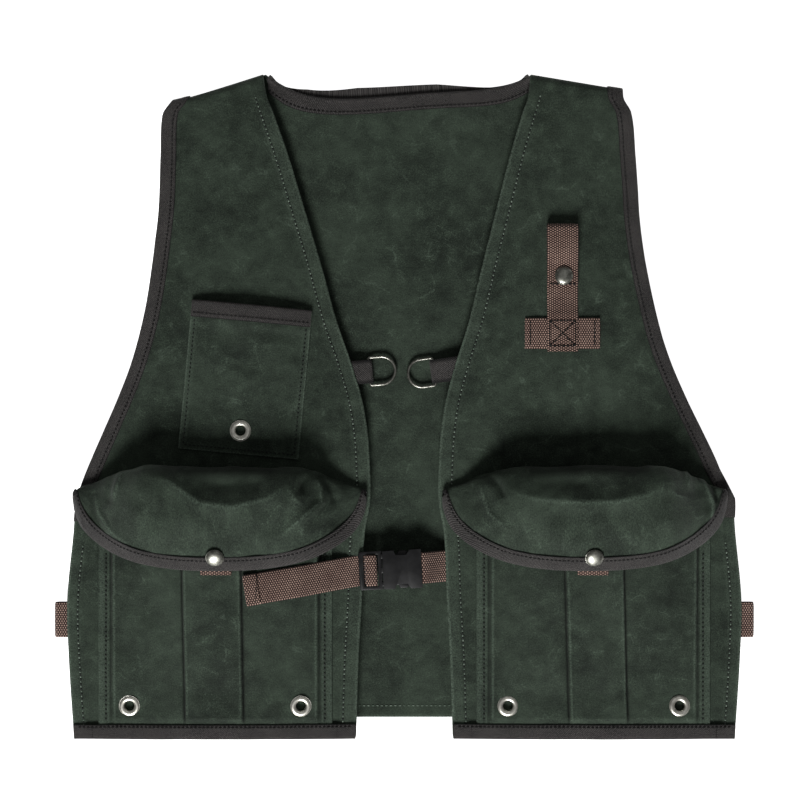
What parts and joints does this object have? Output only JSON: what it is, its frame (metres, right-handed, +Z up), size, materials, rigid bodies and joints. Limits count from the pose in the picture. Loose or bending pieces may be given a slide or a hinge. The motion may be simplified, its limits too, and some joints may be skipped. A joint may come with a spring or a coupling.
{
  "type": "utility work vest",
  "caption": "Waxed canvas work vest lying flat: two domed-flap cargo pockets, chest pocket, webbing loop, D-rings and a buckle.",
  "frame": {"origin": "middle of the underside, where the vest lies on its back", "axes": "+Z up, out of the front; +Y towards the shoulders; +X towards the wearer's left"},
  "size_m": [0.5784, 0.5506, 0.0568],
  "materials": {
    "canvas": "dark green waxed cotton canvas, scuffed",
    "tape": "dark brown twill tape",
    "webbing": "brown coarse cotton webbing",
    "nickel": "nickel plate, lightly worn",
    "plastic": "black, fine grain"
  },
  "bodies": {
    "vest": {"back_panel": "canvas", "front_panel_right": "canvas", "front_panel_left": "canvas", "pocket_bag_right": "canvas", "pocket_bag_left": "canvas", "pocket_flap_right": "canvas", "pocket_flap_left": "canvas", "chest_pocket": "canvas", "armhole_binding_right": "tape", "armhole_binding_left": "tape", "neck_binding": "tape", "hem_binding_right": "tape", "hem_binding_left": "tape", "flap_binding_right": "tape", "flap_binding_left": "tape", "chest_pocket_binding": "tape", "ring_tab_right": "tape", "ring_tab_left": "tape", "snap_tab_right": "webbing", "snap_tab_left": "webbing", "chest_loop_base": "webbing", "chest_loop": "webbing", "front_strap_right": "webbing", "front_strap_left": "webbing", "side_strap_right": "webbing", "side_strap_left": "webbing", "pocket_eyelet_right_outer": "nickel", "pocket_eyelet_right_inner": "nickel", "pocket_eyelet_left_outer": "nickel", "pocket_eyelet_left_inner": "nickel", "flap_snap_right": "nickel", "flap_snap_left": "nickel", "chest_pocket_eyelet": "nickel", "chest_snap": "nickel", "buckle_male": "plastic", "buckle_female": "plastic"},
    "ring_right": {"d_ring_right": "nickel"},
    "ring_left": {"d_ring_left": "nickel"}
  },
  "joints": [
    {"name": "ring_right_swing", "type": "hinge", "parent": "vest", "child": "ring_right", "pos_m": [-0.029, 0.02776, 0.00475], "axis": [0.0872, -0.9962, 0], "range_deg": [0, 140]},
    {"name": "ring_left_swing", "type": "hinge", "parent": "vest", "child": "ring_left", "pos_m": [0.0246, 0.02776, 0.00475], "axis": [-0.1392, 0.9903, 0], "range_deg": [0, 140]}
  ]
}
